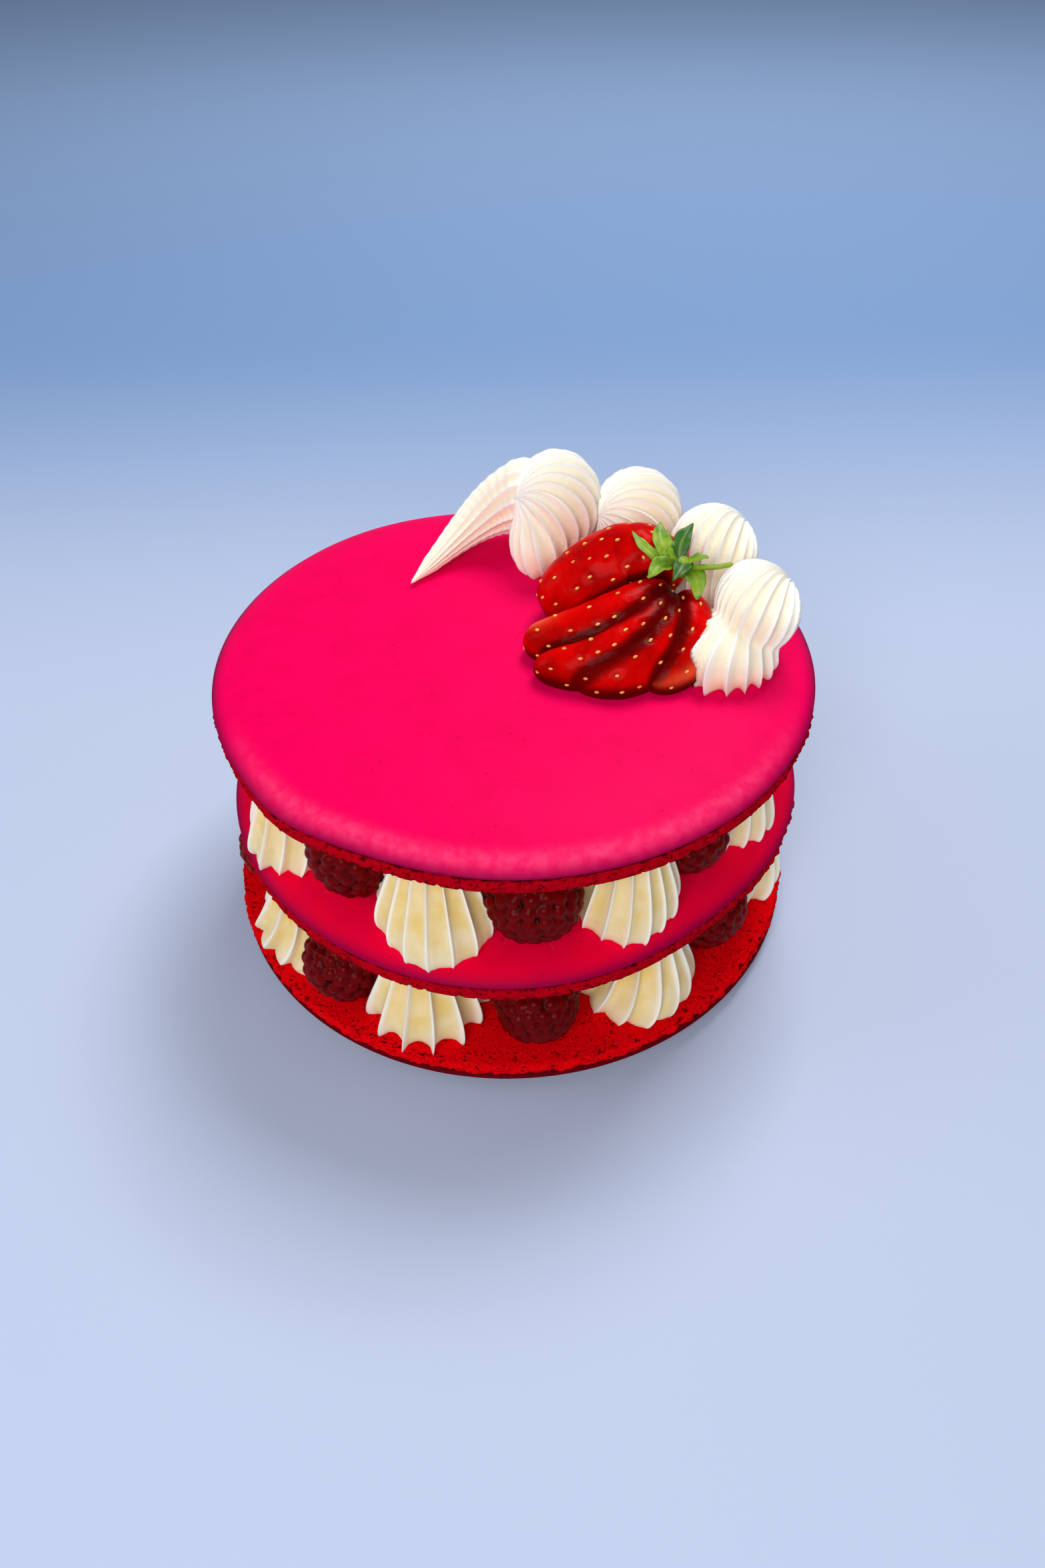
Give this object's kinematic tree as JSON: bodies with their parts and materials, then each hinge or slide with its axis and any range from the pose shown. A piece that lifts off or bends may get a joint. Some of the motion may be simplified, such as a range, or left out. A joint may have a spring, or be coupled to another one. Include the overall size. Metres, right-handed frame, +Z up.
{
  "type": "macaron cake",
  "caption": "Tall round macaron cake: almond meringue discs with raspberries and piped cream stars between them, cream shells and a fanned strawberry on top.",
  "frame": {"origin": "centre of the bottom disc's resting face, on the surface that the cake stands on", "axes": "+Z up through the discs, -Y towards the front that the picture shows, +X to its right"},
  "size_m": [0.1432, 0.1432, 0.1015],
  "materials": {
    "macaron_pink": "satin baked almond meringue, strongly dyed pink",
    "macaron_red": "rough, pitted underside of a dyed meringue disc",
    "filling": "dark fruit filling in the shade between the pieces",
    "cream": "soft piped cream, smooth with a faint grain",
    "raspberry": "moist raspberry with fine pale hairs",
    "strawberry": "glossy ripe strawberry with pale achenes",
    "leaf": "fresh green leaf, slightly translucent"
  },
  "bodies": {
    "root": {"disc_bottom": "macaron_red", "disc_middle": "macaron_pink", "disc_top": "macaron_pink", "filling_core_lower": "filling", "filling_core_upper": "filling", "cream_star_lower_1": "cream", "cream_star_lower_2": "cream", "cream_star_lower_3": "cream", "cream_star_lower_4": "cream", "cream_star_lower_5": "cream", "cream_star_lower_6": "cream", "cream_star_lower_7": "cream", "cream_star_lower_8": "cream", "cream_star_upper_1": "cream", "cream_star_upper_2": "cream", "cream_star_upper_3": "cream", "cream_star_upper_4": "cream", "cream_star_upper_5": "cream", "cream_star_upper_6": "cream", "cream_star_upper_7": "cream", "cream_star_upper_8": "cream", "cream_star_upper_9": "cream", "raspberry_lower_1": "raspberry", "raspberry_lower_2": "raspberry", "raspberry_lower_3": "raspberry", "raspberry_lower_4": "raspberry", "raspberry_lower_5": "raspberry", "raspberry_lower_6": "raspberry", "raspberry_lower_7": "raspberry", "raspberry_lower_8": "raspberry", "raspberry_upper_1": "raspberry", "raspberry_upper_2": "raspberry", "raspberry_upper_3": "raspberry", "raspberry_upper_4": "raspberry", "raspberry_upper_5": "raspberry", "raspberry_upper_6": "raspberry", "raspberry_upper_7": "raspberry", "raspberry_upper_8": "raspberry", "raspberry_upper_9": "raspberry", "cream_shell_1": "cream", "cream_shell_2": "cream", "cream_shell_3": "cream", "cream_shell_4": "cream", "strawberry": "strawberry", "strawberry_leaves": "leaf"}
  },
  "joints": []
}
